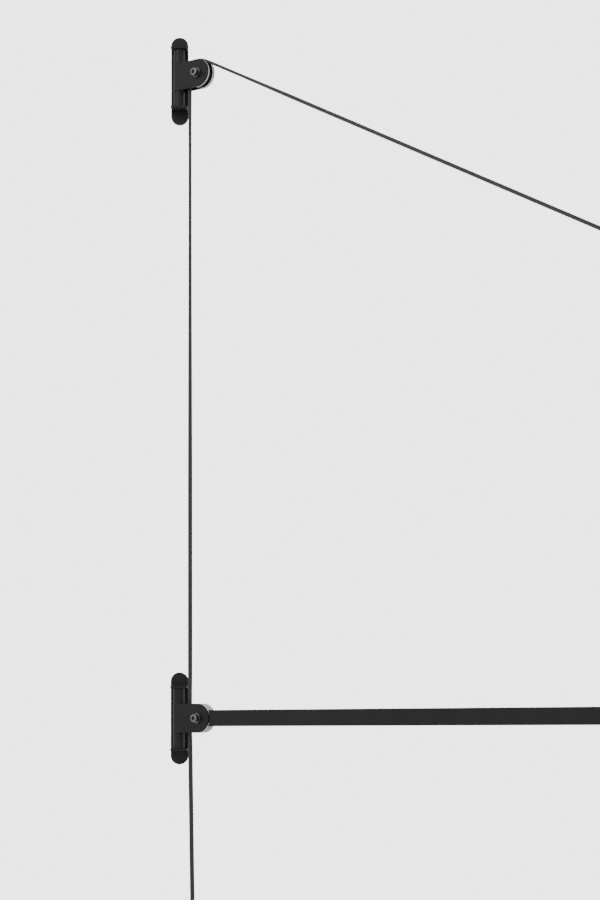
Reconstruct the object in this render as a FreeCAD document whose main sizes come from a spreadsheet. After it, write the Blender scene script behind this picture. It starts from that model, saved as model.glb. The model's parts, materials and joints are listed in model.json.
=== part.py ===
"""Wall mounted swing arm with a pulley stay.

Two wall brackets stand one above the other.  A clevis swivels on each of them.
The lower clevis carries a long horizontal arm, the upper one a grooved wheel.
A flat cord runs from the arm's tip over the wheel and down to a grip in the
lower clevis, and its tail hangs below with a pull knob.

Frame, in millimetres: the wall is the plane Y = 0, the room is on the -Y side,
+X is to the right and +Z is up.  The origin is the middle of the back of the
lower bracket.  Swinging pieces are drawn in a frame of their own: x runs out
along the arm, y is across it and z is up, with the origin on the swivel axis.
"""
import FreeCAD, Part
import math
import os
import re
import Sketcher
from FreeCAD import Placement, Rotation, Vector

SIZES = {
    "bracket_spacing": 820.0, "arm_length": 1650.0, "swing_angle": 38.0,
    "plate_radius": 11.0, "plate_half": 46.5, "plate_depth": 7.0,
    "recess_radius": 7.0, "recess_depth": 4.0,
    "strip_radius": 6.7, "strip_depth": 4.0,
    "screw_hole_radius": 2.25, "screw_hole_half": 35.0, "sink_radius": 4.3, "sink_depth": 2.1,
    "grub_radius": 1.25, "grub_length": 6.5,
    "tab_half": 37.5, "tab_thickness": 3.0, "tab_reach": 21.0, "tab_half_width": 10.5,
    "swivel_out": 12.0, "pin_radius": 2.0,
    "barrel_radius": 7.0, "knuckle_half": 18.0, "thrust_radius": 6.4, "thrust_height": 0.6,
    "running_gap": 0.05,
    "strap_outer": 7.2, "strap_inner": 5.0, "ear_radius": 18.0, "axle_out": 36.0,
    "axle_radius": 3.0, "head_radius": 5.0, "head_height": 6.0,
    "socket_corner": 2.9, "socket_depth": 3.0, "bolt_washer_radius": 6.0, "bolt_washer_height": 1.6,
    "nut_corner": 5.6, "nut_height": 4.0, "dome_radius": 4.6, "dome_height": 3.0,
    "disc_radius": 18.0, "disc_height": 1.2,
    "wheel_radius": 17.6, "wheel_half": 3.6, "groove_radius": 15.3, "groove_half": 3.0,
    "bush_radius": 5.0,
    "arm_height": 20.0, "arm_width": 12.0, "bore_height": 17.0, "bore_width": 9.0,
    "arm_corner": 1.6, "collar_start": 18.6, "tube_start": 22.5, "tongue_half": 3.6, "plug_length": 40.0,
    "plug_gap": 0.1, "fork_reach": 36.0, "fork_slot_half": 2.2, "tip_pin_radius": 2.0,
    "eye_radius": 4.0, "eye_half": 2.0, "sleeve_start": 31.0, "sleeve_end": 56.0,
    "sleeve_radius": 4.5,
    "grip_start": 8.0, "grip_step": 17.8, "grip_end": 25.2, "grip_low": 10.0, "grip_top": 16.0,
    "grip_screw_z": 11.0, "grip_screw_radius": 2.0, "slot_long": 6.4, "slot_short": 4.8,
    "cord_radius": 2.2, "cord_on_wheel": 17.5,
    "knob_radius": 9.0, "knob_height": 34.0, "knob_drop": 300.0, "knob_lean": 5.0, "knob_gap": 0.05,
}

doc = FreeCAD.newDocument("swing_arm")
sheet = doc.addObject("Spreadsheet::Sheet", "Sizes")
for row, (alias, value) in enumerate(SIZES.items(), start=1):
    sheet.set(f"A{row}", alias)
    sheet.set(f"B{row}", str(value))
    sheet.setAlias(f"B{row}", alias)
doc.recompute()

X_AXIS, Y_AXIS, Z_AXIS = Vector(1, 0, 0), Vector(0, 1, 0), Vector(0, 0, 1)
UPRIGHT = Rotation()
ALONG_X = Rotation(Y_AXIS, 90)
ALONG_Y = Rotation(X_AXIS, -90)
nodes = []


def formula(text):
    """Point the alias words in text at the cells of the sheet."""
    return re.sub(r"[a-z_]{3,}", lambda word: "Sizes." + word.group(0), str(text))


def size(alias):
    """The value of one cell."""
    return sheet.get(alias)


def bind(item, prop, text):
    item.setExpression(prop, formula(text))


def place(item, at, turn=UPRIGHT):
    item.Placement = Placement(Vector(), turn)
    for axis, text in zip("xyz", at):
        bind(item, f"Placement.Base.{axis}", text)


def box(low, lengths):
    """A block from its lowest corner and its three lengths."""
    item = doc.addObject("Part::Box", "block")
    for prop, text in zip(("Length", "Width", "Height"), lengths):
        bind(item, prop, text)
    place(item, low)
    return item


def rod(at, radius, length, turn=UPRIGHT):
    """A cylinder that starts at a point and runs along the turned Z axis."""
    item = doc.addObject("Part::Cylinder", "rod")
    bind(item, "Radius", radius)
    bind(item, "Height", length)
    place(item, at, turn)
    return item


def cone(at, radius, far_radius, length, turn=UPRIGHT):
    item = doc.addObject("Part::Cone", "cone")
    bind(item, "Radius1", radius)
    bind(item, "Radius2", far_radius)
    bind(item, "Height", length)
    place(item, at, turn)
    return item


def fuse(*items):
    item = doc.addObject("Part::MultiFuse", "joined")
    item.Shapes = list(items)
    item.Refine = True
    return item


def together(*items):
    """One object that holds others where they stand, without joining them."""
    group = doc.addObject("Part::Compound", "group")
    group.Links = list(items)
    return group


def cut(base, *tools):
    item = doc.addObject("Part::Cut", "cut")
    item.Base = base
    item.Tool = tools[0] if len(tools) == 1 else fuse(*tools)
    item.Refine = True
    return item


def soften(base, radius, wanted):
    """Round the edges of base that the test accepts."""
    doc.recompute()
    item = doc.addObject("Part::Fillet", "softened")
    item.Base = base
    item.Edges = [(number, radius, radius)
                  for number, edge in enumerate(base.Shape.Edges, start=1) if wanted(edge)]
    return item


def outline_edge(axis, level):
    """A test for edges that lie in one plane across an axis."""
    def wanted(edge):
        box_of_edge = edge.BoundBox
        low = getattr(box_of_edge, axis + "Min")
        high = getattr(box_of_edge, axis + "Max")
        return abs(low - level) < 1e-3 and abs(high - level) < 1e-3
    return wanted


def either(*tests):
    return lambda edge: any(test(edge) for test in tests)


def long_edge(axis, length):
    """A test for straight edges of a given length along an axis."""
    def wanted(edge):
        return abs(getattr(edge.BoundBox, axis + "Length") - length) < 1e-3
    return wanted


def keep(label, item, height="0", swings=False):
    """Name a finished sub-part and stand it on its bracket or on its swivel axis."""
    item.Label = label
    if swings:
        place(item, ("0", "-plate_depth - swivel_out", height), Rotation(Z_AXIS, -size("swing_angle")))
    else:
        place(item, ("0", "0", height))
    nodes.append(item)
    return item


def origin_plane(body, role):
    return [plane for plane in body.Origin.OriginFeatures if plane.Role == role][0]


def new_sketch(body, role):
    sketch = body.newObject("Sketcher::SketchObject", "outline")
    sketch.AttachmentSupport = [(origin_plane(body, role), "")]
    sketch.MapMode = "FlatFace"
    return sketch


def distance(sketch, kind, first, second, alias):
    """Add a distance between two points that follows a cell."""
    number = sketch.addConstraint(Sketcher.Constraint(kind, *first, *second, size(alias)))
    bind(sketch, f"Constraints[{number}]", alias)


def rectangle(sketch, width, height):
    """A rectangle about the sketch's origin."""
    across, up = size(width) / 2, size(height) / 2
    corners = [Vector(-across, -up, 0), Vector(across, -up, 0),
               Vector(across, up, 0), Vector(-across, up, 0)]
    first = sketch.GeometryCount
    for number in range(4):
        sketch.addGeometry(Part.LineSegment(corners[number], corners[(number + 1) % 4]), False)
    for number in range(4):
        following = (number + 1) % 4
        sketch.addConstraint(Sketcher.Constraint("Coincident", first + number, 2, first + following, 1))
        kind = "Vertical" if number % 2 else "Horizontal"
        sketch.addConstraint(Sketcher.Constraint(kind, first + number))
    sketch.addConstraint(Sketcher.Constraint("Symmetric", first, 1, first + 2, 1, -1, 1))
    distance(sketch, "DistanceX", (first, 1), (first, 2), width)
    distance(sketch, "DistanceY", (first + 1, 1), (first + 1, 2), height)


def pill(sketch, radius, half):
    """An upright slot shape: two half circles joined by straight sides."""
    r, h = size(radius), size(half)
    up, down = Vector(0, h, 0), Vector(0, -h, 0)
    front = Vector(0, 0, 1)
    sketch.addGeometry(Part.ArcOfCircle(Part.Circle(up, front, r), 0, math.pi), False)
    sketch.addGeometry(Part.LineSegment(Vector(-r, h, 0), Vector(-r, -h, 0)), False)
    sketch.addGeometry(Part.ArcOfCircle(Part.Circle(down, front, r), math.pi, 2 * math.pi), False)
    sketch.addGeometry(Part.LineSegment(Vector(r, -h, 0), Vector(r, h, 0)), False)
    for number in range(4):
        sketch.addConstraint(Sketcher.Constraint("Tangent", number, 2, (number + 1) % 4, 1))
    for arc in (0, 2):
        sketch.addConstraint(Sketcher.Constraint("PointOnObject", arc, 3, -2))
    sketch.addConstraint(Sketcher.Constraint("Equal", 0, 2))
    number = sketch.addConstraint(Sketcher.Constraint("Radius", 0, r))
    bind(sketch, f"Constraints[{number}]", radius)
    distance(sketch, "DistanceY", (-1, 1), (0, 3), half)
    distance(sketch, "DistanceY", (2, 3), (-1, 1), half)


def pad(body, sketch, length, reverse=False):
    feature = body.newObject("PartDesign::Pad", "pad")
    feature.Profile = sketch
    feature.Reversed = reverse
    bind(feature, "Length", length)
    sketch.Visibility = False
    return feature


# Fixed pieces of one wall bracket ------------------------------------------------------

def wall_strip():
    """The flat strip that is screwed to the wall behind the plate, with two countersunk holes."""
    body = doc.addObject("PartDesign::Body", "strip_body")
    sketch = new_sketch(body, "XZ_Plane")
    pill(sketch, "strip_radius", "plate_half")
    pad(body, sketch, "strip_depth")
    tools = []
    for side in ("-", ""):
        level = f"{side}screw_hole_half"
        tools.append(rod(("0", "1", level), "screw_hole_radius", "strip_depth + 2", Rotation(X_AXIS, 90)))
        tools.append(cone(("0", "-strip_depth", level), "sink_radius", "screw_hole_radius",
                          "sink_depth", ALONG_Y))
    tools.append(rod(("0", "-strip_depth / 2", "-plate_half - plate_radius"),
                     "grub_radius", "grub_length + 0.5"))
    return cut(body, *tools)


def wall_plate():
    """The slim rounded plate and its two tabs, hollow at the back for the strip."""
    body = doc.addObject("PartDesign::Body", "plate_body")
    sketch = new_sketch(body, "XZ_Plane")
    pill(sketch, "plate_radius", "plate_half")
    pad(body, sketch, "plate_depth")
    face = soften(body, 0.6, outline_edge("Y", -size("plate_depth")))
    recess = doc.addObject("PartDesign::Body", "recess_body")
    hollow = new_sketch(recess, "XZ_Plane")
    pill(hollow, "recess_radius", "plate_half")
    pad(recess, hollow, "recess_depth")
    tabs = []
    for low in ("tab_half", "-tab_half - tab_thickness"):
        tab = box(("-tab_half_width", "-plate_depth - tab_reach", low),
                  ("2 * tab_half_width", "tab_reach + 1", "tab_thickness"))
        tab = soften(tab, 1.2, long_edge("Z", size("tab_thickness")))
        tabs.append(soften(tab, 0.3, either(outline_edge("Z", tab_level(low)),
                                            outline_edge("Z", tab_level(low) + size("tab_thickness")))))
    pin_hole = rod(("0", "-plate_depth - swivel_out", "-tab_half - tab_thickness - 1"),
                   "pin_radius", "2 * (tab_half + tab_thickness + 1)")
    grub_hole = rod(("0", "-strip_depth / 2", "-plate_half - plate_radius - 1"),
                    "grub_radius", "plate_radius - recess_radius + 2")
    return cut(fuse(face, *tabs), recess, pin_hole, grub_hole)


def tab_level(low):
    """The height of a tab's lower face."""
    if low == "tab_half":
        return size("tab_half")
    return -size("tab_half") - size("tab_thickness")


def grub_screw():
    """A small set screw, up through the plate's lower end into the strip."""
    screw = rod(("0", "-strip_depth / 2", "-plate_half - plate_radius"), "grub_radius", "grub_length")
    socket = rod(("0", "-strip_depth / 2", "-plate_half - plate_radius - 1"), "grub_radius / 2", "2.5")
    return cut(screw, socket)


def swivel_pin():
    """The upright hinge pin, pressed in and flush with both tabs."""
    base = ("0", "-plate_depth - swivel_out", "-tab_half - tab_thickness")
    return together(rod(base, "pin_radius", "2 * (tab_half + tab_thickness)"))


def ring(at, outer, inner, height, turn=UPRIGHT):
    """A tube or washer: two rods on one axis, one cut from the other."""
    return cut(rod(at, outer, height, turn), rod(at, inner, height, turn))


def spacer(above):
    """A fixed sleeve of the barrel, between a tab and the swivelling knuckle."""
    inner_end = "knuckle_half + thrust_height + running_gap"
    low = inner_end if above else "-tab_half"
    at = ("0", "-plate_depth - swivel_out", low)
    sleeve = ring(at, "barrel_radius", "pin_radius", f"tab_half - ({inner_end})")
    outer_edge = lambda edge: edge.Curve.TypeId == "Part::GeomCircle" and edge.Curve.Radius > 5
    return soften(sleeve, 0.35, outer_edge)


def thrust_washers():
    """Two thin washers, one each side of the knuckle."""
    washers = []
    for low in ("knuckle_half + running_gap / 2", "-knuckle_half - thrust_height - running_gap / 2"):
        at = ("0", "-plate_depth - swivel_out", low)
        washers.append(ring(at, "thrust_radius", "pin_radius", "thrust_height"))
    return together(*washers)


# Pieces of one clevis --------------------------------------------------------------------

def clevis_strap(grip):
    """A strip bent round the swivel axis into a fork with two round ears."""
    leg = box(("0", "-strap_outer", "-knuckle_half"), ("axle_out", "2 * strap_outer", "2 * knuckle_half"))
    ear = rod(("axle_out", "-strap_outer", "0"), "ear_radius", "2 * strap_outer", ALONG_Y)
    bend = rod(("0", "0", "-knuckle_half"), "strap_outer", "2 * knuckle_half")
    blank = soften(fuse(leg, ear, bend), 0.45,
                   either(outline_edge("Z", size("knuckle_half")), outline_edge("Z", -size("knuckle_half")),
                          outline_edge("Y", size("strap_outer")), outline_edge("Y", -size("strap_outer"))))
    gap = box(("0", "-strap_inner", "-knuckle_half - 1"),
              ("axle_out + ear_radius + 1", "2 * strap_inner", "2 * knuckle_half + 2"))
    inside = rod(("0", "0", "-knuckle_half - 1"), "strap_inner", "2 * knuckle_half + 2")
    bore = rod(("axle_out", "-strap_outer - 1", "0"), "axle_radius", "2 * strap_outer + 2", ALONG_Y)
    tools = [gap, inside, bore]
    if grip:
        tools.append(rod(("axle_out - cord_on_wheel", "0", "grip_screw_z"), "grip_screw_radius",
                         "strap_outer + 1", ALONG_Y))
    return cut(blank, *tools)


def swivel_bush():
    """The plain bearing inside the strap's bend, running on the pin."""
    return ring(("0", "0", "-knuckle_half"), "strap_inner", "pin_radius + running_gap", "2 * knuckle_half")


def hexagon(at, corner, height):
    """A six sided prism along the Y axis."""
    prism = doc.addObject("Part::Prism", "hexagon")
    prism.Polygon = 6
    bind(prism, "Circumradius", corner)
    bind(prism, "Height", height)
    place(prism, at, ALONG_Y)
    return prism


def axle_bolt():
    """The cross bolt, with a round head and a hexagon socket on the near side."""
    front = "-strap_outer - bolt_washer_height - head_height"
    head = rod(("axle_out", front, "0"), "head_radius", "head_height", ALONG_Y)
    face = -size("strap_outer") - size("bolt_washer_height") - size("head_height")
    eased = soften(head, 0.8, outline_edge("Y", face))
    shank = rod(("axle_out", "-strap_outer - bolt_washer_height - 1", "0"), "axle_radius",
                "2 * strap_outer + bolt_washer_height + nut_height + 1", ALONG_Y)
    return cut(fuse(eased, shank), hexagon(("axle_out", front, "0"), "socket_corner", "socket_depth"))


def bolt_washer():
    """The flat washer between the bolt's head and the near ear."""
    return ring(("axle_out", "-strap_outer - bolt_washer_height", "0"), "bolt_washer_radius",
                "axle_radius", "bolt_washer_height", ALONG_Y)


def cap_nut():
    """The hexagon nut with a domed cap on the far side."""
    body = hexagon(("axle_out", "strap_outer", "0"), "nut_corner", "nut_height")
    cap = rod(("axle_out", "strap_outer + nut_height", "0"), "dome_radius", "dome_height", ALONG_Y)
    end = size("strap_outer") + size("nut_height") + size("dome_height")
    domed = soften(cap, 2.6, outline_edge("Y", end))
    thread = rod(("axle_out", "strap_outer", "0"), "axle_radius", "nut_height", ALONG_Y)
    return cut(fuse(body, domed), thread)


def side_disc(far):
    """A pale bearing disc against one ear."""
    low = "strap_inner - disc_height" if far else "-strap_inner"
    return ring(("axle_out", low, "0"), "disc_radius", "axle_radius", "disc_height", ALONG_Y)


def wheel():
    """The grooved wheel that carries the cord."""
    disc = rod(("axle_out", "-wheel_half", "0"), "wheel_radius", "2 * wheel_half", ALONG_Y)
    groove = ring(("axle_out", "-groove_half", "0"), "wheel_radius + 1", "groove_radius",
                  "2 * groove_half", ALONG_Y)
    bore = rod(("axle_out", "-wheel_half", "0"), "bush_radius", "2 * wheel_half", ALONG_Y)
    return cut(disc, groove, bore)


def axle_bush(half):
    """The bronze bush that runs on the cross bolt."""
    return ring(("axle_out", f"-{half}", "0"), "bush_radius", "axle_radius + running_gap",
                f"2 * {half}", ALONG_Y)


# The arm ---------------------------------------------------------------------------------

def plug(start):
    """The part of an end fitting that slides into the tube."""
    return box((start, "-bore_width / 2 + plug_gap", "-bore_height / 2 + plug_gap"),
               ("plug_length + 1", "bore_width - 2 * plug_gap", "bore_height - 2 * plug_gap"))


def arm_hub():
    """The tongue on the lower bolt, its full size collar and the plug in the tube."""
    eye = rod(("axle_out", "-tongue_half", "0"), "arm_height / 2", "2 * tongue_half", ALONG_Y)
    tongue = box(("axle_out", "-tongue_half", "-arm_height / 2"),
                 ("collar_start + 1", "2 * tongue_half", "arm_height"))
    collar = box(("axle_out + collar_start", "-arm_width / 2", "-arm_height / 2"),
                 ("tube_start - collar_start", "arm_width", "arm_height"))
    collar = soften(collar, size("arm_corner"), long_edge("X", size("tube_start") - size("collar_start")))
    bore = rod(("axle_out", "-tongue_half - 1", "0"), "bush_radius", "2 * tongue_half + 2", ALONG_Y)
    return cut(fuse(eye, tongue, collar, plug("axle_out + tube_start - 1")), bore)


def arm_tube():
    """The long rectangular tube."""
    body = doc.addObject("PartDesign::Body", "tube_body")
    outer = new_sketch(body, "YZ_Plane")
    rectangle(outer, "arm_width", "arm_height")
    length = "arm_length - tube_start - fork_reach"
    pad(body, outer, length)
    doc.recompute()
    run = size("arm_length") - size("tube_start") - size("fork_reach")
    rounded = soften(body, size("arm_corner"), long_edge("X", run))
    bore = box(("-1", "-bore_width / 2", "-bore_height / 2"), (f"{length} + 2", "bore_width", "bore_height"))
    tube = cut(rounded, bore)
    place(tube, ("axle_out + tube_start", "0", "0"))
    return together(tube)


def tip_fork():
    """The tube's far end: a plug and two cheeks that hold the cord's eye."""
    end = "axle_out + arm_length"
    block = box((f"{end} - fork_reach", "-arm_width / 2", "-arm_height / 2"),
                ("fork_reach", "arm_width", "arm_height"))
    nose = rod((end, "-arm_width / 2", "0"), "arm_height / 2", "arm_width", ALONG_Y)
    slot = box((f"{end} - fork_reach + 2", "-fork_slot_half", "-arm_height / 2 - 1"),
               ("fork_reach + arm_height", "2 * fork_slot_half", "arm_height + 2"))
    bore = rod((end, "-arm_width / 2 - 1", "0"), "tip_pin_radius", "arm_width + 2", ALONG_Y)
    return cut(fuse(block, nose, plug(f"{end} - fork_reach - plug_length")), slot, bore)


def tip_pin():
    """The cross pin through the fork and the cord's eye."""
    pin = rod(("axle_out + arm_length", "-arm_width / 2", "0"), "tip_pin_radius", "arm_width", ALONG_Y)
    return together(pin)


def cord_sleeve():
    """The crimped sleeve on the cord's end, with a flat eye."""
    eye = rod(("0", "-eye_half", "0"), "eye_radius", "2 * eye_half", ALONG_Y)
    neck = box(("0", "-eye_half", "-eye_radius"), ("sleeve_start + 1", "2 * eye_half", "2 * eye_radius"))
    crimp = rod(("sleeve_start", "0", "0"), "sleeve_radius", "sleeve_end - sleeve_start", ALONG_X)
    crimp = soften(crimp, 0.8, outline_edge("X", size("sleeve_end")))
    bore = rod(("0", "-eye_half - 1", "0"), "tip_pin_radius + running_gap", "2 * eye_half + 2", ALONG_Y)
    fitting = cut(fuse(eye, neck, crimp), bore)
    place(fitting, ("axle_out + arm_length", "0", "0"), Rotation(Y_AXIS, 180 + stay_angle()))
    return together(fitting)


# The grip and the cord -----------------------------------------------------------------

def grip_block():
    """The block between the lower ears that the cord passes down through."""
    wide = box(("grip_start", "-strap_inner", "-grip_low"),
               ("grip_step - grip_start", "2 * strap_inner", "grip_low + grip_top"))
    narrow = box(("grip_step", "-wheel_half", "-grip_low"),
                 ("grip_end - grip_step", "2 * wheel_half", "grip_low + grip_top"))
    middle = "axle_out - cord_on_wheel"
    slot = box((f"{middle} - slot_short / 2", "-slot_long / 2", "-grip_low - 1"),
               ("slot_short", "slot_long", "grip_low + grip_top + 2"))
    thread = rod((middle, "0", "grip_screw_z"), "grip_screw_radius", "strap_outer", ALONG_Y)
    return cut(fuse(wide, narrow), slot, thread)


def grip_screw():
    """The set screw in the far ear that clamps the cord in the block."""
    at = ("axle_out - cord_on_wheel", "slot_long / 2 - 0.3", "grip_screw_z")
    screw = rod(at, "grip_screw_radius", "strap_outer - slot_long / 2 + 0.3", ALONG_Y)
    socket = rod(("axle_out - cord_on_wheel", "strap_outer - 1.5", "grip_screw_z"), "grip_screw_radius / 2",
                 "2.5", ALONG_Y)
    return cut(screw, socket)


def stay_angle():
    """How steeply the stay leaves the arm's tip, in degrees, as a tangent to the wheel."""
    rise, run = size("bracket_spacing"), size("arm_length")
    straight = math.hypot(rise, run)
    return math.degrees(math.atan2(rise, run) + math.asin(size("cord_on_wheel") / straight))


def wheel_corners():
    """Corners of the route round the wheel, evenly spaced over the cord's wrap."""
    steps = 3
    wrap = math.radians(90 + stay_angle())
    half_turn = wrap / steps / 2
    reach = size("cord_on_wheel") / math.cos(half_turn)
    corners = []
    for step in range(steps):
        angle = math.radians(90 - stay_angle()) + half_turn * (2 * step + 1)
        corners.append((size("axle_out") + reach * math.cos(angle),
                        size("bracket_spacing") + reach * math.sin(angle)))
    return corners


def tube_along(points, radii):
    """A round tube along straight runs joined by tangent arcs, in the plane of the arm."""
    corners = [Vector(x, 0, z) for x, z in points]
    edges = []
    reached = corners[0]
    for index in range(1, len(corners) - 1):
        before = (corners[index] - corners[index - 1]).normalize()
        after = (corners[index + 1] - corners[index]).normalize()
        turn = before.getAngle(after)
        setback = radii[index - 1] * math.tan(turn / 2)
        start = corners[index] - before * setback
        finish = corners[index] + after * setback
        inward = (after - before).normalize()
        sagitta = radii[index - 1] * (1 / math.cos(turn / 2) - 1)
        if start.distanceToPoint(reached) > 1e-3:
            edges.append(Part.LineSegment(reached, start).toShape())
        edges.append(Part.Arc(start, corners[index] + inward * sagitta, finish).toShape())
        reached = finish
    if corners[-1].distanceToPoint(reached) > 1e-3:
        edges.append(Part.LineSegment(reached, corners[-1]).toShape())
    path = Part.Wire(edges)
    start_direction = (corners[1] - corners[0]).normalize()
    section = Part.Wire(Part.Circle(corners[0], start_direction, size("cord_radius")).toShape())
    tube = path.makePipeShell([section], True, False)
    print("radii", [round(radius, 1) for radius in radii], "length", round(path.Length, 1),
          "volume ratio", round(tube.Volume / (math.pi * size("cord_radius") ** 2 * path.Length), 5))
    return tube


def stay_cord():
    """The taut stretch from the sleeve at the arm's tip up and over the wheel."""
    angle = math.radians(stay_angle())
    tip = size("axle_out") + size("arm_length")
    start = (tip - size("sleeve_end") * math.cos(angle), size("sleeve_end") * math.sin(angle))
    left = (size("axle_out") - size("cord_on_wheel"), size("bracket_spacing"))
    corners = wheel_corners()
    return tube_along([start] + corners + [left], [size("cord_on_wheel")] * len(corners))


def down_cord():
    """The taut stretch from the wheel down through the grip, and its hanging tail."""
    side = size("axle_out") - size("cord_on_wheel")
    bend = -2.5 * size("grip_low")
    route = [(side, size("bracket_spacing")), (side, bend), (side + size("knob_lean"), -size("knob_drop"))]
    return tube_along(route, [600.0])


def cord_piece(label, shape):
    """A cord's solid has no primitive of its own, so its shape is set here."""
    item = doc.addObject("Part::Feature", label)
    item.Shape = shape
    keep(label, item, "0", swings=True)


def pull_knob():
    """The turned knob on the tail's end."""
    at = ("axle_out - cord_on_wheel + knob_lean", "0", "-knob_drop - knob_gap - knob_height")
    neck_at = (at[0], "0", "-knob_drop - knob_gap - 0.4 * knob_height")
    barrel = rod(at, "knob_radius", "0.6 * knob_height")
    lowest = -size("knob_drop") - size("knob_gap") - size("knob_height")
    barrel = soften(barrel, 5.0, outline_edge("Z", lowest))
    neck = cone(neck_at, "knob_radius", "0.45 * knob_radius", "0.4 * knob_height")
    return fuse(barrel, neck)


def build():
    for name, height in (("lower", "0"), ("upper", "bracket_spacing")):
        keep(f"{name}_wall_strip", wall_strip(), height)
        keep(f"{name}_wall_plate", wall_plate(), height)
        keep(f"{name}_grub_screw", grub_screw(), height)
        keep(f"{name}_swivel_pin", swivel_pin(), height)
        keep(f"{name}_top_spacer", spacer(True), height)
        keep(f"{name}_bottom_spacer", spacer(False), height)
        keep(f"{name}_thrust_washers", thrust_washers(), height)
        keep(f"{name}_clevis_strap", clevis_strap(name == "lower"), height, swings=True)
        keep(f"{name}_swivel_bush", swivel_bush(), height, swings=True)
        keep(f"{name}_axle_bolt", axle_bolt(), height, swings=True)
        keep(f"{name}_bolt_washer", bolt_washer(), height, swings=True)
        keep(f"{name}_cap_nut", cap_nut(), height, swings=True)
        keep(f"{name}_near_disc", side_disc(False), height, swings=True)
        keep(f"{name}_far_disc", side_disc(True), height, swings=True)
    keep("pulley_wheel", wheel(), "bracket_spacing", swings=True)
    keep("pulley_bush", axle_bush("wheel_half"), "bracket_spacing", swings=True)
    keep("arm_hub", arm_hub(), swings=True)
    keep("arm_hub_bush", axle_bush("tongue_half"), swings=True)
    keep("arm_tube", arm_tube(), swings=True)
    keep("arm_tip_fork", tip_fork(), swings=True)
    keep("tip_pin", tip_pin(), swings=True)
    keep("cord_sleeve", cord_sleeve(), swings=True)
    keep("cord_grip_block", grip_block(), swings=True)
    keep("cord_grip_screw", grip_screw(), swings=True)
    keep("pull_knob", pull_knob(), swings=True)
    cord_piece("stay_cord", stay_cord())
    cord_piece("down_cord", down_cord())


def check():
    """Stop before writing if any object failed to build."""
    for item in doc.Objects:
        if "Invalid" in item.State or "Error" in item.State:
            raise RuntimeError(f"{item.Label} failed: {item.State}")
    for item in nodes:
        if item.Shape.isNull() or not item.Shape.isValid():
            raise RuntimeError(f"{item.Label} has no valid shape")


def write():
    os.makedirs("parts", exist_ok=True)
    for item in nodes:
        item.Shape.exportStep(f"parts/{item.Label}.step")


build()
doc.recompute()
check()
write()
print(len(nodes), "nodes written")
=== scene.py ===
import json
import math
import bpy
from mathutils import Matrix, Vector


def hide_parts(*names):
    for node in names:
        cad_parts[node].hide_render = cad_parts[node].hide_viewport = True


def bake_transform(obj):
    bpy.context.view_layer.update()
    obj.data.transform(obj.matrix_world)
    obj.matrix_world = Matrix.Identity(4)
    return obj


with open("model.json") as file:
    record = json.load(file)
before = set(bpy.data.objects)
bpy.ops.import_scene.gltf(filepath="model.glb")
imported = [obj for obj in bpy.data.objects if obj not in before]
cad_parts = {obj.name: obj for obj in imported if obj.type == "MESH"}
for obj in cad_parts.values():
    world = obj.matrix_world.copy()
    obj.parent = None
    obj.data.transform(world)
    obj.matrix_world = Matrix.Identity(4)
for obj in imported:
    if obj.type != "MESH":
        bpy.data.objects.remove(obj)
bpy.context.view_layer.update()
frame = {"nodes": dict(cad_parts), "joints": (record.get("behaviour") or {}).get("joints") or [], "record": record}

# The object's own frame ------------------------------------------------------------------
# The arm and the cord lie in one upright plane through the swivel axis.  "out" is the
# distance from that axis along the arm, and "across" is square to the plane.

SWING = math.radians(38)
SWIVEL = Vector(frame["joints"][0]["pos_m"])
OUT = Vector((math.cos(SWING), -math.sin(SWING), 0))
ACROSS = Vector((math.sin(SWING), math.cos(SWING), 0))
UP = Vector((0, 0, 1))

BRACKET_SPACING = 0.820
ARM_LENGTH = 1.650
AXLE_OUT = 0.036
CORD_ON_WHEEL = 0.0175
SLEEVE_END = 0.056
CORD_WIDTH = 0.0056
CORD_THICKNESS = 0.0038
# The smooth line cuts inside its corners, so round the wheel they stand this much further out.
CORNER_ROOM = 0.0008
WHEEL_CORNERS = 3
TAIL_TOP = -0.025
TAIL_END = -0.300
TAIL_LEAN = 0.005


def at(out, height):
    """A point of the arm's plane, in the row frame."""
    return SWIVEL + OUT * out + UP * height


# Camera ----------------------------------------------------------------------------------

CAMERA_PLACE = Vector((0.1615, -3.0517, -0.0029))
CAMERA_YAW, CAMERA_PITCH, CAMERA_ROLL = map(math.radians, (-0.156, 6.396, -0.296))
FOCAL_LENGTH = 96.35
SENSOR_HEIGHT = 36


def look(position, yaw, pitch, roll, focal):
    """The photograph's viewpoint: a long lens, level with the arm and looking a little up."""
    forward = Vector((math.sin(yaw) * math.cos(pitch),
                      math.cos(yaw) * math.cos(pitch),
                      math.sin(pitch)))
    level = Vector((math.cos(yaw), -math.sin(yaw), 0))
    top = level.cross(forward)
    right = level * math.cos(roll) + top * math.sin(roll)
    top = top * math.cos(roll) - level * math.sin(roll)
    turn = Matrix((right, top, -forward)).transposed()
    data = bpy.data.cameras.new("camera")
    data.sensor_fit = "VERTICAL"
    data.sensor_height = SENSOR_HEIGHT
    data.lens = focal
    camera = bpy.data.objects.new("camera", data)
    camera.matrix_world = Matrix.Translation(position) @ turn.to_4x4()
    bpy.context.scene.collection.objects.link(camera)
    bpy.context.scene.camera = camera


look(CAMERA_PLACE, CAMERA_YAW, CAMERA_PITCH, CAMERA_ROLL, FOCAL_LENGTH)


# Materials -------------------------------------------------------------------------------

def nodes_of(name):
    """A new material with its shader, and two short helpers to add and join nodes."""
    material = bpy.data.materials.new(name)
    material.use_nodes = True
    tree = material.node_tree
    shader = tree.nodes["Principled BSDF"]

    def add(kind, **settings):
        node = tree.nodes.new(kind)
        for key, value in settings.items():
            if key in node.inputs:
                node.inputs[key].default_value = value
            else:
                setattr(node, key, value)
        return node

    return material, shader, add, tree.links.new


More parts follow.
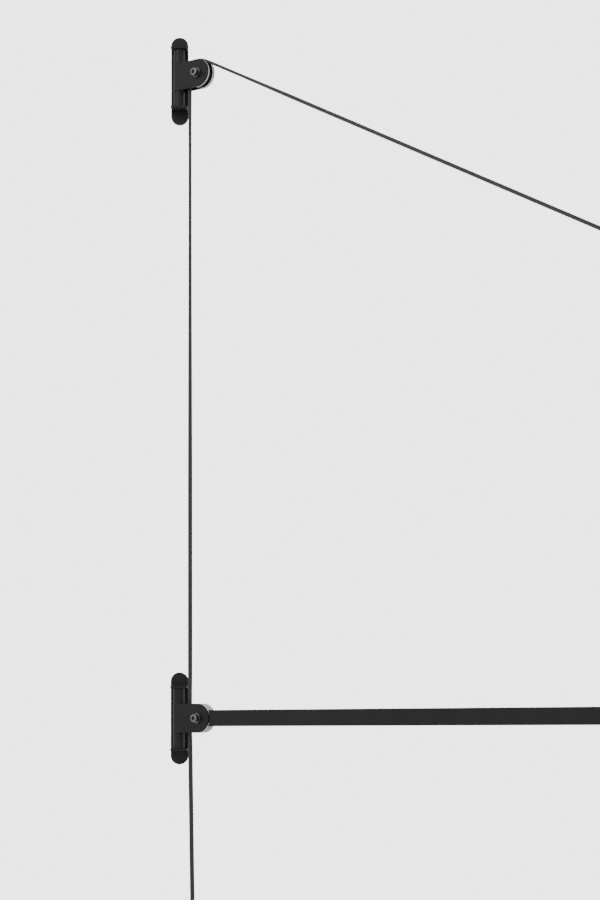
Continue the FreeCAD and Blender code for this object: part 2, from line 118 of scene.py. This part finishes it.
def ramp(add, link, source, stops):
    """A colour ramp over a grey value; stops are two pairs of (place, colour)."""
    node = add("ShaderNodeValToRGB")
    for element, (place, colour) in zip(node.color_ramp.elements, stops):
        element.position, element.color = place, (*colour, 1)
    link(source, node.inputs["Fac"])
    return node.outputs["Color"]


def between(add, link, source, low, high):
    """A grey value carried over from 0..1 to low..high."""
    node = add("ShaderNodeMapRange")
    node.inputs["To Min"].default_value = low
    node.inputs["To Max"].default_value = high
    link(source, node.inputs["Value"])
    return node.outputs["Result"]


def grey(level, warm=0.0):
    """A grey, tinted towards red by the share "warm"."""
    return (level * (1 + warm), level, level * (1 - warm))


def bumped(add, link, shader, heights):
    """Bumps laid one on another; heights are (grey value, depth in metres)."""
    last = None
    for source, depth in heights:
        bump = add("ShaderNodeBump", Strength=1.0, Distance=depth)
        link(source, bump.inputs["Height"])
        if last is not None:
            link(last, bump.inputs["Normal"])
        last = bump.outputs["Normal"]
    link(last, shader.inputs["Normal"])


def object_noise(add, link, scale, detail=3.0, squeeze=(1, 1, 1)):
    """Cloudy noise in the piece's own space, drawn out along an axis by a small squeeze."""
    place = add("ShaderNodeTexCoord").outputs["Object"]
    mapping = add("ShaderNodeMapping")
    mapping.inputs["Scale"].default_value = squeeze
    link(place, mapping.inputs["Vector"])
    noise = add("ShaderNodeTexNoise", Scale=scale, Detail=detail)
    link(mapping.outputs["Vector"], noise.inputs["Vector"])
    return noise.outputs["Fac"]


def black_coat(name, lines=False):
    """Satin black powder coat: fine orange peel, faint blotches and, on a spacer, turned lines."""
    material, shader, add, link = nodes_of(name)
    blotch = object_noise(add, link, 45)
    colour = ramp(add, link, blotch, [(0.3, grey(0.004)), (0.7, grey(0.008, 0.02))])
    link(colour, shader.inputs["Base Color"])
    peel = object_noise(add, link, 1300, 2)
    heights = [(peel, 0.00003)]
    if lines:
        rings = object_noise(add, link, 260, 1, (0.001, 0.001, 1))
        heights.append((rings, 0.00005))
    bumped(add, link, shader, heights)
    link(between(add, link, blotch, 0.40, 0.52), shader.inputs["Roughness"])
    shader.inputs["IOR"].default_value = 1.36
    shader.inputs["Specular IOR Level"].default_value = 0.5
    return material


def dark_steel():
    """Blackened, polished fasteners."""
    material, shader, add, link = nodes_of("dark_steel")
    smear = object_noise(add, link, 300)
    shader.inputs["Metallic"].default_value = 1.0
    colour = ramp(add, link, smear, [(0.3, grey(0.14, 0.06)), (0.7, grey(0.24, 0.06))])
    link(colour, shader.inputs["Base Color"])
    link(between(add, link, smear, 0.20, 0.32), shader.inputs["Roughness"])
    bumped(add, link, shader, [(object_noise(add, link, 1600, 2), 0.00001)])
    return material


def bare_metal(name, dark, light, rough):
    """Bare metal with a drawn grain."""
    material, shader, add, link = nodes_of(name)
    shader.inputs["Metallic"].default_value = 1.0
    grain = object_noise(add, link, 900, 2, (1, 1, 0.08))
    link(ramp(add, link, grain, [(0.25, dark), (0.75, light)]), shader.inputs["Base Color"])
    wear = object_noise(add, link, 120)
    link(between(add, link, wear, rough - 0.06, rough + 0.08), shader.inputs["Roughness"])
    bumped(add, link, shader, [(grain, 0.00002)])
    return material


def moulded(name, low, high, rough, warm=0.0):
    """Moulded plastic with a fine spark eroded skin."""
    material, shader, add, link = nodes_of(name)
    cloud = object_noise(add, link, 160)
    colour = ramp(add, link, cloud, [(0.3, grey(low, warm)), (0.7, grey(high, warm))])
    link(colour, shader.inputs["Base Color"])
    link(between(add, link, cloud, rough - 0.05, rough + 0.08), shader.inputs["Roughness"])
    bumped(add, link, shader, [(object_noise(add, link, 1900, 2), 0.00002)])
    return material


def black_wood():
    """Stained, waxed wood with its grain along the knob."""
    material, shader, add, link = nodes_of("black_wood")
    grain = object_noise(add, link, 420, 6, (1, 1, 0.06))
    colour = ramp(add, link, grain, [(0.3, (0.010, 0.009, 0.008)), (0.7, (0.030, 0.024, 0.020))])
    link(colour, shader.inputs["Base Color"])
    link(between(add, link, grain, 0.30, 0.48), shader.inputs["Roughness"])
    bumped(add, link, shader, [(grain, 0.00006)])
    return material


def black_cord():
    """Flat braid: strands crossing both ways, laid out on the cord's own UV map in metres."""
    material, shader, add, link = nodes_of("black_cord")
    layout = add("ShaderNodeUVMap", uv_map="along").outputs["UV"]
    strands = []
    for slant in (1, -1):
        mapping = add("ShaderNodeMapping")
        mapping.inputs["Rotation"].default_value = (0, 0, slant * math.radians(38))
        link(layout, mapping.inputs["Vector"])
        wave = add("ShaderNodeTexWave", bands_direction="Y", Scale=135.0, Distortion=0.0)
        link(mapping.outputs["Vector"], wave.inputs["Vector"])
        strands.append(wave.outputs["Fac"])
    crossing = add("ShaderNodeMath", operation="MAXIMUM")
    link(strands[0], crossing.inputs[0])
    link(strands[1], crossing.inputs[1])
    braid = crossing.outputs["Value"]
    colour = ramp(add, link, braid, [(0.2, grey(0.005)), (0.9, grey(0.020, 0.02))])
    link(colour, shader.inputs["Base Color"])
    link(between(add, link, braid, 0.85, 0.62), shader.inputs["Roughness"])
    fuzz = object_noise(add, link, 2600, 2)
    bumped(add, link, shader, [(braid, 0.00025), (fuzz, 0.00004)])
    shader.inputs["Sheen Weight"].default_value = 0.15
    shader.inputs["Sheen Roughness"].default_value = 0.5
    return material


FINISHES = {
    "black_coat": black_coat("black_coat"),
    "dark_steel": dark_steel(),
    "plain_steel": bare_metal("plain_steel", grey(0.42), grey(0.58), 0.30),
    "brass": bare_metal("brass", (0.60, 0.43, 0.18), (0.78, 0.58, 0.27), 0.26),
    "bronze": bare_metal("bronze", (0.42, 0.26, 0.13), (0.56, 0.36, 0.19), 0.38),
    "pale_nylon": moulded("pale_nylon", 0.74, 0.84, 0.26, 0.01),
    "black_plastic": moulded("black_plastic", 0.006, 0.010, 0.40),
    "black_wood": black_wood(),
    "black_cord": black_cord(),
}
TURNED = black_coat("black_coat_turned", lines=True)


def dress():
    """Give every CAD node the finish that its slot in the record names."""
    for entry in frame["record"]["subparts"]:
        node = frame["nodes"][entry["node"]]
        finish = FINISHES[entry["material_slot"]]
        if entry["node"].endswith("_spacer"):
            finish = TURNED
        node.data.materials.clear()
        node.data.materials.append(finish)


dress()


# The cord --------------------------------------------------------------------------------

def stay_slope():
    """How steeply the stay leaves the arm's tip, as a tangent to the wheel."""
    straight = math.hypot(ARM_LENGTH, BRACKET_SPACING)
    return math.atan2(BRACKET_SPACING, ARM_LENGTH) + math.asin(CORD_ON_WHEEL / straight)


def cord_route():
    """The route's points, as (out, height), from the sleeve at the tip to the pull knob."""
    slope = stay_slope()
    tip = AXLE_OUT + ARM_LENGTH
    side = AXLE_OUT - CORD_ON_WHEEL
    start = (tip - SLEEVE_END * math.cos(slope), SLEEVE_END * math.sin(slope))
    corners = []
    half_turn = (math.pi / 2 + slope) / WHEEL_CORNERS / 2
    reach = (CORD_ON_WHEEL + CORNER_ROOM) / math.cos(half_turn)
    for step in range(WHEEL_CORNERS):
        angle = math.pi / 2 - slope + half_turn * (2 * step + 1)
        corners.append((AXLE_OUT + reach * math.cos(angle),
                        BRACKET_SPACING + reach * math.sin(angle)))
    lead = 6 * CORD_WIDTH
    before_wheel = (corners[0][0] + lead * math.cos(slope), corners[0][1] - lead * math.sin(slope))
    return [start, before_wheel, *corners, (side, BRACKET_SPACING - lead),
            (side, TAIL_TOP + lead), (side, TAIL_TOP), (side + TAIL_LEAN, TAIL_END)]


def route_line(points):
    """The smooth line through the route, read from its NURBS curve."""
    curve = bpy.data.curves.new("cord_line", "CURVE")
    curve.dimensions = "3D"
    spline = curve.splines.new("NURBS")
    spline.points.add(len(points) - 1)
    for point, place in zip(spline.points, points):
        point.co = (*at(*place), 1)
    spline.order_u = 3
    spline.use_endpoint_u = True
    spline.resolution_u = 40
    holder = bpy.data.objects.new("cord_line", curve)
    bpy.context.scene.collection.objects.link(holder)
    mesh = bpy.data.meshes.new_from_object(holder)
    line = [vertex.co.copy() for vertex in mesh.vertices]
    bpy.data.objects.remove(holder)
    bpy.data.meshes.remove(mesh)
    return line


# How far the flat cord is turned from lying flat on the wheel, in degrees: by height on its
# upright run, and by distance out on the stay.
TWIST_UPRIGHT = ((-0.300, 52), (-0.060, 52), (-0.012, 0), (0.016, 0),
                 (0.090, 45), (0.740, -38), (0.815, 0))
TWIST_STAY = ((0.060, 0), (0.200, 44), (1.500, 44), (1.640, 0))


def eased(table, place):
    """A value from a table of (place, value), eased from one entry to the next."""
    if place <= table[0][0]:
        return table[0][1]
    for (low, first), (high, second) in zip(table, table[1:]):
        if place <= high:
            share = (place - low) / (high - low)
            share = share * share * (3 - 2 * share)
            return first + (second - first) * share
    return table[-1][1]


def twist(point):
    """The cord's turn at a point, in radians."""
    out = (point - SWIVEL).dot(OUT)
    if out > AXLE_OUT:
        return math.radians(eased(TWIST_STAY, out))
    return math.radians(eased(TWIST_UPRIGHT, point.z))


def cord_mesh(line):
    """A tube of flat oval section along the line, with a UV map in metres for the braid."""
    sides, squareness = 16, 0.8
    lengths = [0.0]
    for first, second in zip(line, line[1:]):
        lengths.append(lengths[-1] + (second - first).length)
    ring = []
    for side in range(sides):
        angle = 2 * math.pi * side / sides
        wide, thick = math.cos(angle), math.sin(angle)
        ring.append((math.copysign(abs(wide) ** squareness, wide) * CORD_WIDTH / 2,
                     math.copysign(abs(thick) ** squareness, thick) * CORD_THICKNESS / 2))
    vertices = []
    for index, point in enumerate(line):
        ahead = (line[min(index + 1, len(line) - 1)] - line[max(index - 1, 0)]).normalized()
        flat = ahead.cross(ACROSS).normalized()
        turn = twist(point)
        wide_way = ACROSS * math.cos(turn) + flat * math.sin(turn)
        thick_way = flat * math.cos(turn) - ACROSS * math.sin(turn)
        vertices += [point + wide_way * wide + thick_way * thick for wide, thick in ring]
    faces = []
    for index in range(len(line) - 1):
        for side in range(sides):
            following = (side + 1) % sides
            low, high = index * sides, (index + 1) * sides
            faces.append((low + side, low + following, high + following, high + side))
    faces.append(tuple(reversed(range(sides))))
    faces.append(tuple(range((len(line) - 1) * sides, len(line) * sides)))
    mesh = bpy.data.meshes.new("cord")
    mesh.from_pydata(vertices, [], faces)
    girth = 2 * (CORD_WIDTH + CORD_THICKNESS)
    uv = mesh.uv_layers.new(name="along")
    for number in range((len(line) - 1) * sides):
        index, side = divmod(number, sides)
        corners = ((index, side), (index, side + 1), (index + 1, side + 1), (index + 1, side))
        for loop, (ring_number, corner) in zip(mesh.polygons[number].loop_indices, corners):
            uv.data[loop].uv = (lengths[ring_number], corner / sides * girth)
    for polygon in mesh.polygons[:-2]:
        polygon.use_smooth = True
    mesh.materials.append(FINISHES["black_cord"])
    mesh.validate()
    return mesh, lengths[-1]


def make_cord():
    line = route_line(cord_route())
    mesh, length = cord_mesh(line)
    cord = bpy.data.objects.new("braided_cord", mesh)
    bpy.context.scene.collection.objects.link(cord)
    print("cord length", round(length, 4))
    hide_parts("stay_cord", "down_cord")
    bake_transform(cord)


make_cord()


# Light and floor -------------------------------------------------------------------------
# The backdrop is brighter to the camera than as a light on the object.

BACKDROP_AS_LIGHT = 1.0
BACKDROP_SEEN = 3.5
FLOOR_MIDDLE = (0.4, -0.4)
FLOOR_RADIUS = 3.0
FLOOR_LEVEL = -1.2


def area_light(name, place, target, size, power, colour):
    """A rectangular lamp that faces its target."""
    data = bpy.data.lights.new(name, "AREA")
    data.shape = "RECTANGLE"
    data.size, data.size_y = size
    data.energy = power
    data.color = colour
    light = bpy.data.objects.new(name, data)
    place, target = Vector(place), Vector(target)
    turn = (target - place).to_track_quat("-Z", "Y").to_matrix().to_4x4()
    light.matrix_world = Matrix.Translation(place) @ turn
    bpy.context.scene.collection.objects.link(light)


def studio():
    """An even white backdrop, a warm key light from the left and a cool fill from the right."""
    world = bpy.data.worlds.new("studio")
    world.use_nodes = True
    tree = world.node_tree
    background = tree.nodes["Background"]
    background.inputs["Color"].default_value = (1, 1, 1, 1)
    shown = tree.nodes.new("ShaderNodeMapRange")
    shown.inputs["To Min"].default_value = BACKDROP_AS_LIGHT
    shown.inputs["To Max"].default_value = BACKDROP_SEEN
    path = tree.nodes.new("ShaderNodeLightPath")
    tree.links.new(path.outputs["Is Camera Ray"], shown.inputs["Value"])
    tree.links.new(shown.outputs["Result"], background.inputs["Strength"])
    bpy.context.scene.world = world
    area_light("key", place=(-1.2, -1.5, 1.9), target=(0, 0, 0.8), size=(1.0, 1.0),
               power=18, colour=(1.0, 0.97, 0.92))
    area_light("fill", place=(2.2, -2.4, 0.9), target=(0.1, 0, 0.4), size=(1.0, 1.6),
               power=6, colour=(0.95, 0.98, 1.0))


def floor():
    """A pale round floor, well below the object."""
    corners = 96
    edge = []
    for corner in range(corners):
        angle = 2 * math.pi * corner / corners
        edge.append((FLOOR_MIDDLE[0] + FLOOR_RADIUS * math.cos(angle),
                     FLOOR_MIDDLE[1] + FLOOR_RADIUS * math.sin(angle), FLOOR_LEVEL))
    mesh = bpy.data.meshes.new("floor")
    mesh.from_pydata(edge, [], [tuple(range(corners))])
    disc = bpy.data.objects.new("floor", mesh)
    bpy.context.scene.collection.objects.link(disc)
    mesh.materials.append(moulded("floor_paint", 0.86, 0.88, 0.7))


studio()
floor()
